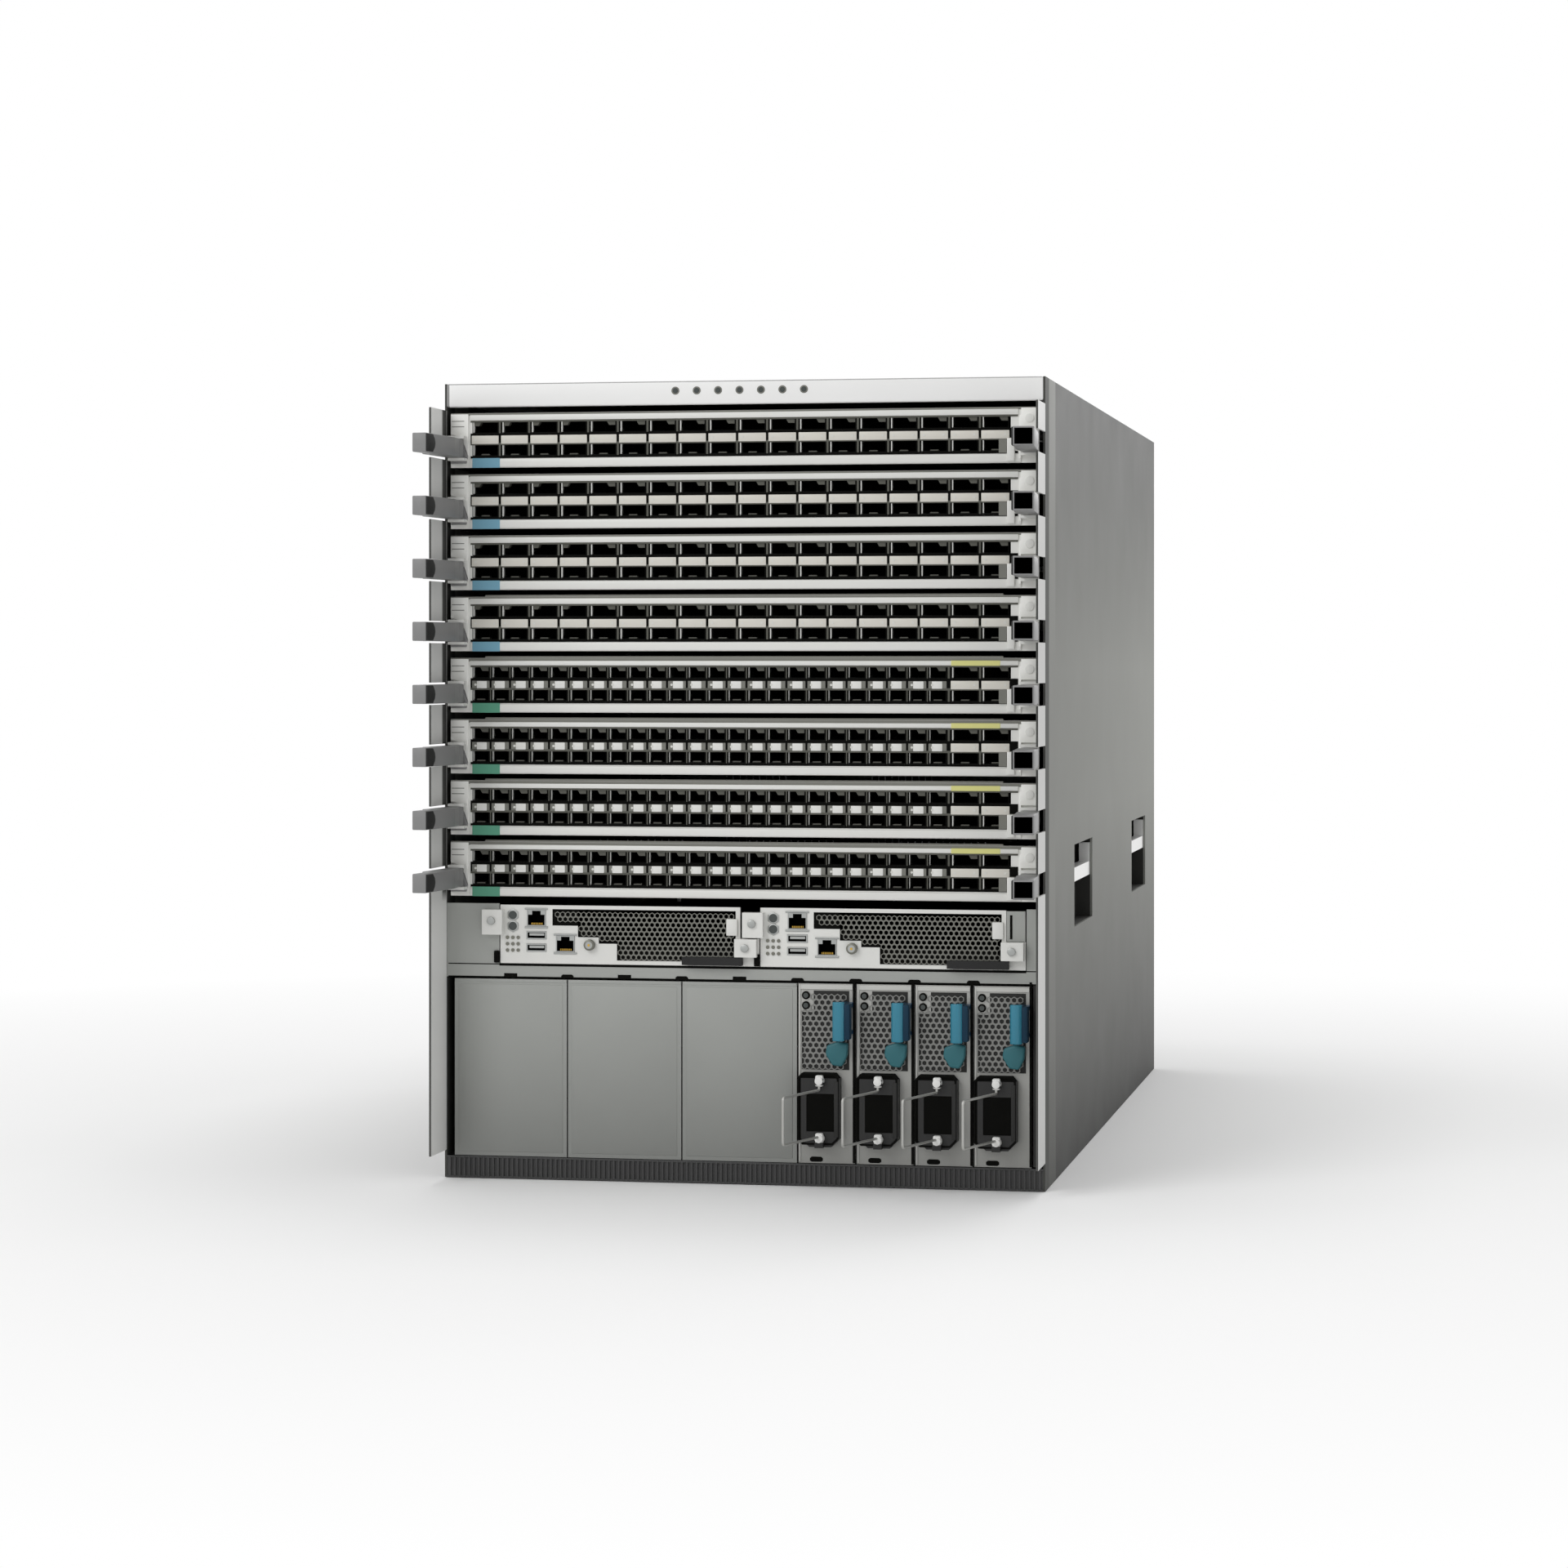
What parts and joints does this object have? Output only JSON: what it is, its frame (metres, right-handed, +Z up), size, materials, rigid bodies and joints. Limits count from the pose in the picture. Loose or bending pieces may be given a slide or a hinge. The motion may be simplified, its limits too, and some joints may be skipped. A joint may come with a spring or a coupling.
{
  "type": "modular chassis switch",
  "caption": "Thirteen-unit modular network chassis with pull-out line cards, supervisors, power supplies, fan trays, ejector levers and folding side handles.",
  "frame": {"origin": "middle of the chassis base, on the surface that it stands on, half way between the front faces of the modules and the rear faces", "axes": "+X to the right as seen from the front, +Y to the rear, +Z up; the modules' faces look along -Y"},
  "size_m": [0.4464, 0.9104, 0.577],
  "materials": {
    "chassis_paint": "fine textured light grey powder coat on sheet steel",
    "grille_plastic": "dark moulded plastic",
    "bezel_plastic": "pale satin moulded plastic",
    "zinc_steel": "zinc plated sheet steel",
    "card_steel": "pale satin painted steel with nickel plated port cages",
    "lever_plastic": "grey glass filled nylon",
    "module_steel": "pale satin painted steel",
    "dark_plastic": "black moulded plastic",
    "supply_steel": "zinc plated steel with pierced airholes",
    "teal_plastic": "teal moulded plastic",
    "bail_wire": "bright plated spring wire",
    "fan_tray_paint": "grey powder coat",
    "handle_steel": "bright plated steel"
  },
  "bodies": {
    "chassis": {"side_panel_left": "chassis_paint", "side_panel_right": "chassis_paint", "top_cover": "chassis_paint", "base_tray": "chassis_paint", "intake_grille": "grille_plastic", "front_bezel": "bezel_plastic", "power_shelf": "chassis_paint", "fabric_cage": "zinc_steel"},
    "line_card_1": {"line_card_1": "card_steel"},
    "ejector_left_1": {"ejector_left_1": "lever_plastic"},
    "ejector_right_1": {"ejector_right_1": "lever_plastic"},
    "line_card_2": {"line_card_2": "card_steel"},
    "ejector_left_2": {"ejector_left_2": "lever_plastic"},
    "ejector_right_2": {"ejector_right_2": "lever_plastic"},
    "line_card_3": {"line_card_3": "card_steel"},
    "ejector_left_3": {"ejector_left_3": "lever_plastic"},
    "ejector_right_3": {"ejector_right_3": "lever_plastic"},
    "line_card_4": {"line_card_4": "card_steel"},
    "ejector_left_4": {"ejector_left_4": "lever_plastic"},
    "ejector_right_4": {"ejector_right_4": "lever_plastic"},
    "line_card_5": {"line_card_5": "card_steel"},
    "ejector_left_5": {"ejector_left_5": "lever_plastic"},
    "ejector_right_5": {"ejector_right_5": "lever_plastic"},
    "line_card_6": {"line_card_6": "card_steel"},
    "ejector_left_6": {"ejector_left_6": "lever_plastic"},
    "ejector_right_6": {"ejector_right_6": "lever_plastic"},
    "line_card_7": {"line_card_7": "card_steel"},
    "ejector_left_7": {"ejector_left_7": "lever_plastic"},
    "ejector_right_7": {"ejector_right_7": "lever_plastic"},
    "line_card_8": {"line_card_8": "card_steel"},
    "ejector_left_8": {"ejector_left_8": "lever_plastic"},
    "ejector_right_8": {"ejector_right_8": "lever_plastic"},
    "supervisor_1": {"supervisor_1": "module_steel"},
    "supervisor_lever_1": {"supervisor_lever_1": "dark_plastic"},
    "supervisor_2": {"supervisor_2": "module_steel"},
    "supervisor_lever_2": {"supervisor_lever_2": "dark_plastic"},
    "power_supply_1": {"power_supply_1": "supply_steel"},
    "supply_latch_1": {"supply_latch_1": "teal_plastic"},
    "cord_bail_1": {"cord_bail_1": "bail_wire"},
    "power_supply_2": {"power_supply_2": "supply_steel"},
    "supply_latch_2": {"supply_latch_2": "teal_plastic"},
    "cord_bail_2": {"cord_bail_2": "bail_wire"},
    "power_supply_3": {"power_supply_3": "supply_steel"},
    "supply_latch_3": {"supply_latch_3": "teal_plastic"},
    "cord_bail_3": {"cord_bail_3": "bail_wire"},
    "power_supply_4": {"power_supply_4": "supply_steel"},
    "supply_latch_4": {"supply_latch_4": "teal_plastic"},
    "cord_bail_4": {"cord_bail_4": "bail_wire"},
    "blank_cover_1": {"blank_cover_1": "chassis_paint"},
    "fan_tray_1": {"fan_tray_1": "fan_tray_paint"},
    "blank_cover_2": {"blank_cover_2": "chassis_paint"},
    "fan_tray_2": {"fan_tray_2": "fan_tray_paint"},
    "blank_cover_3": {"blank_cover_3": "chassis_paint"},
    "fan_tray_3": {"fan_tray_3": "fan_tray_paint"},
    "system_controller_1": {"system_controller_1": "module_steel"},
    "system_controller_2": {"system_controller_2": "module_steel"},
    "lift_handle_left_front": {"lift_handle_left_front": "handle_steel"},
    "lift_handle_left_rear": {"lift_handle_left_rear": "handle_steel"},
    "lift_handle_right_front": {"lift_handle_right_front": "handle_steel"},
    "lift_handle_right_rear": {"lift_handle_right_rear": "handle_steel"}
  },
  "joints": [
    {"name": "line_card_1_slide", "type": "slide", "parent": "chassis", "child": "line_card_1", "axis": [0, -1, 0], "range_m": [0, 0.56]},
    {"name": "ejector_left_1_swing", "type": "hinge", "parent": "line_card_1", "child": "ejector_left_1", "pos_m": [-0.209, -0.406, 0.52975], "axis": [0, 0, -1], "range_deg": [0, 40]},
    {"name": "ejector_right_1_swing", "type": "hinge", "parent": "line_card_1", "child": "ejector_right_1", "pos_m": [0.209, -0.406, 0.52975], "axis": [0, 0, 1], "range_deg": [0, 40]},
    {"name": "line_card_2_slide", "type": "slide", "parent": "chassis", "child": "line_card_2", "axis": [0, -1, 0], "range_m": [0, 0.56]},
    {"name": "ejector_left_2_swing", "type": "hinge", "parent": "line_card_2", "child": "ejector_left_2", "pos_m": [-0.209, -0.406, 0.4853], "axis": [0, 0, -1], "range_deg": [0, 40]},
    {"name": "ejector_right_2_swing", "type": "hinge", "parent": "line_card_2", "child": "ejector_right_2", "pos_m": [0.209, -0.406, 0.4853], "axis": [0, 0, 1], "range_deg": [0, 40]},
    {"name": "line_card_3_slide", "type": "slide", "parent": "chassis", "child": "line_card_3", "axis": [0, -1, 0], "range_m": [0, 0.56]},
    {"name": "ejector_left_3_swing", "type": "hinge", "parent": "line_card_3", "child": "ejector_left_3", "pos_m": [-0.209, -0.406, 0.44085], "axis": [0, 0, -1], "range_deg": [0, 40]},
    {"name": "ejector_right_3_swing", "type": "hinge", "parent": "line_card_3", "child": "ejector_right_3", "pos_m": [0.209, -0.406, 0.44085], "axis": [0, 0, 1], "range_deg": [0, 40]},
    {"name": "line_card_4_slide", "type": "slide", "parent": "chassis", "child": "line_card_4", "axis": [0, -1, 0], "range_m": [0, 0.56]},
    {"name": "ejector_left_4_swing", "type": "hinge", "parent": "line_card_4", "child": "ejector_left_4", "pos_m": [-0.209, -0.406, 0.3964], "axis": [0, 0, -1], "range_deg": [0, 40]},
    {"name": "ejector_right_4_swing", "type": "hinge", "parent": "line_card_4", "child": "ejector_right_4", "pos_m": [0.209, -0.406, 0.3964], "axis": [0, 0, 1], "range_deg": [0, 40]},
    {"name": "line_card_5_slide", "type": "slide", "parent": "chassis", "child": "line_card_5", "axis": [0, -1, 0], "range_m": [0, 0.56]},
    {"name": "ejector_left_5_swing", "type": "hinge", "parent": "line_card_5", "child": "ejector_left_5", "pos_m": [-0.209, -0.406, 0.35195], "axis": [0, 0, -1], "range_deg": [0, 40]},
    {"name": "ejector_right_5_swing", "type": "hinge", "parent": "line_card_5", "child": "ejector_right_5", "pos_m": [0.209, -0.406, 0.35195], "axis": [0, 0, 1], "range_deg": [0, 40]},
    {"name": "line_card_6_slide", "type": "slide", "parent": "chassis", "child": "line_card_6", "axis": [0, -1, 0], "range_m": [0, 0.56]},
    {"name": "ejector_left_6_swing", "type": "hinge", "parent": "line_card_6", "child": "ejector_left_6", "pos_m": [-0.209, -0.406, 0.3075], "axis": [0, 0, -1], "range_deg": [0, 40]},
    {"name": "ejector_right_6_swing", "type": "hinge", "parent": "line_card_6", "child": "ejector_right_6", "pos_m": [0.209, -0.406, 0.3075], "axis": [0, 0, 1], "range_deg": [0, 40]},
    {"name": "line_card_7_slide", "type": "slide", "parent": "chassis", "child": "line_card_7", "axis": [0, -1, 0], "range_m": [0, 0.56]},
    {"name": "ejector_left_7_swing", "type": "hinge", "parent": "line_card_7", "child": "ejector_left_7", "pos_m": [-0.209, -0.406, 0.26305], "axis": [0, 0, -1], "range_deg": [0, 40]},
    {"name": "ejector_right_7_swing", "type": "hinge", "parent": "line_card_7", "child": "ejector_right_7", "pos_m": [0.209, -0.406, 0.26305], "axis": [0, 0, 1], "range_deg": [0, 40]},
    {"name": "line_card_8_slide", "type": "slide", "parent": "chassis", "child": "line_card_8", "axis": [0, -1, 0], "range_m": [0, 0.56]},
    {"name": "ejector_left_8_swing", "type": "hinge", "parent": "line_card_8", "child": "ejector_left_8", "pos_m": [-0.209, -0.406, 0.2186], "axis": [0, 0, -1], "range_deg": [0, 40]},
    {"name": "ejector_right_8_swing", "type": "hinge", "parent": "line_card_8", "child": "ejector_right_8", "pos_m": [0.209, -0.406, 0.2186], "axis": [0, 0, 1], "range_deg": [0, 40]},
    {"name": "supervisor_1_slide", "type": "slide", "parent": "chassis", "child": "supervisor_1", "axis": [0, -1, 0], "range_m": [0, 0.555]},
    {"name": "supervisor_lever_1_swing", "type": "hinge", "parent": "supervisor_1", "child": "supervisor_lever_1", "pos_m": [-0.0005, -0.4043, 0.16], "axis": [0, 0, 1], "range_deg": [0, 60]},
    {"name": "supervisor_2_slide", "type": "slide", "parent": "chassis", "child": "supervisor_2", "axis": [0, -1, 0], "range_m": [0, 0.555]},
    {"name": "supervisor_lever_2_swing", "type": "hinge", "parent": "supervisor_2", "child": "supervisor_lever_2", "pos_m": [0.1921, -0.4043, 0.16], "axis": [0, 0, 1], "range_deg": [0, 60]},
    {"name": "power_supply_1_slide", "type": "slide", "parent": "chassis", "child": "power_supply_1", "axis": [0, -1, 0], "range_m": [0, 0.4]},
    {"name": "supply_latch_1_press", "type": "slide", "parent": "power_supply_1", "child": "supply_latch_1", "axis": [-1, 0, 0], "range_m": [0, 0.004], "stiffness_N_per_m": 800, "springref_m": -0.001},
    {"name": "cord_bail_1_swing", "type": "hinge", "parent": "power_supply_1", "child": "cord_bail_1", "pos_m": [0.0594, -0.412, 0.05335], "axis": [0, 0, 1], "range_deg": [-40, 42]},
    {"name": "power_supply_2_slide", "type": "slide", "parent": "chassis", "child": "power_supply_2", "axis": [0, -1, 0], "range_m": [0, 0.4]},
    {"name": "supply_latch_2_press", "type": "slide", "parent": "power_supply_2", "child": "supply_latch_2", "axis": [-1, 0, 0], "range_m": [0, 0.004], "stiffness_N_per_m": 800, "springref_m": -0.001},
    {"name": "cord_bail_2_swing", "type": "hinge", "parent": "power_supply_2", "child": "cord_bail_2", "pos_m": [0.1018, -0.412, 0.05335], "axis": [0, 0, 1], "range_deg": [-40, 42]},
    {"name": "power_supply_3_slide", "type": "slide", "parent": "chassis", "child": "power_supply_3", "axis": [0, -1, 0], "range_m": [0, 0.4]},
    {"name": "supply_latch_3_press", "type": "slide", "parent": "power_supply_3", "child": "supply_latch_3", "axis": [-1, 0, 0], "range_m": [0, 0.004], "stiffness_N_per_m": 800, "springref_m": -0.001},
    {"name": "cord_bail_3_swing", "type": "hinge", "parent": "power_supply_3", "child": "cord_bail_3", "pos_m": [0.1442, -0.412, 0.05335], "axis": [0, 0, 1], "range_deg": [-40, 42]},
    {"name": "power_supply_4_slide", "type": "slide", "parent": "chassis", "child": "power_supply_4", "axis": [0, -1, 0], "range_m": [0, 0.4]},
    {"name": "supply_latch_4_press", "type": "slide", "parent": "power_supply_4", "child": "supply_latch_4", "axis": [-1, 0, 0], "range_m": [0, 0.004], "stiffness_N_per_m": 800, "springref_m": -0.001},
    {"name": "cord_bail_4_swing", "type": "hinge", "parent": "power_supply_4", "child": "cord_bail_4", "pos_m": [0.1866, -0.412, 0.05335], "axis": [0, 0, 1], "range_deg": [-40, 42]},
    {"name": "blank_cover_1_slide", "type": "slide", "parent": "chassis", "child": "blank_cover_1", "axis": [0, -1, 0], "range_m": [0, 0.04]},
    {"name": "fan_tray_1_slide", "type": "slide", "parent": "chassis", "child": "fan_tray_1", "axis": [0, 1, 0], "range_m": [0, 0.1]},
    {"name": "blank_cover_2_slide", "type": "slide", "parent": "chassis", "child": "blank_cover_2", "axis": [0, -1, 0], "range_m": [0, 0.04]},
    {"name": "fan_tray_2_slide", "type": "slide", "parent": "chassis", "child": "fan_tray_2", "axis": [0, 1, 0], "range_m": [0, 0.1]},
    {"name": "blank_cover_3_slide", "type": "slide", "parent": "chassis", "child": "blank_cover_3", "axis": [0, -1, 0], "range_m": [0, 0.04]},
    {"name": "fan_tray_3_slide", "type": "slide", "parent": "chassis", "child": "fan_tray_3", "axis": [0, 1, 0], "range_m": [0, 0.1]},
    {"name": "system_controller_1_slide", "type": "slide", "parent": "chassis", "child": "system_controller_1", "axis": [0, 1, 0], "range_m": [0, 0.16]},
    {"name": "system_controller_2_slide", "type": "slide", "parent": "chassis", "child": "system_controller_2", "axis": [0, 1, 0], "range_m": [0, 0.16]},
    {"name": "lift_handle_left_front_swing", "type": "hinge", "parent": "chassis", "child": "lift_handle_left_front", "pos_m": [-0.214, -0.165, 0.23], "axis": [0, 1, 0], "range_deg": [0, 90]},
    {"name": "lift_handle_left_rear_swing", "type": "hinge", "parent": "chassis", "child": "lift_handle_left_rear", "pos_m": [-0.214, 0.257, 0.23], "axis": [0, 1, 0], "range_deg": [0, 90]},
    {"name": "lift_handle_right_front_swing", "type": "hinge", "parent": "chassis", "child": "lift_handle_right_front", "pos_m": [0.214, -0.165, 0.23], "axis": [0, -1, 0], "range_deg": [0, 90]},
    {"name": "lift_handle_right_rear_swing", "type": "hinge", "parent": "chassis", "child": "lift_handle_right_rear", "pos_m": [0.214, 0.257, 0.23], "axis": [0, -1, 0], "range_deg": [0, 90]}
  ]
}
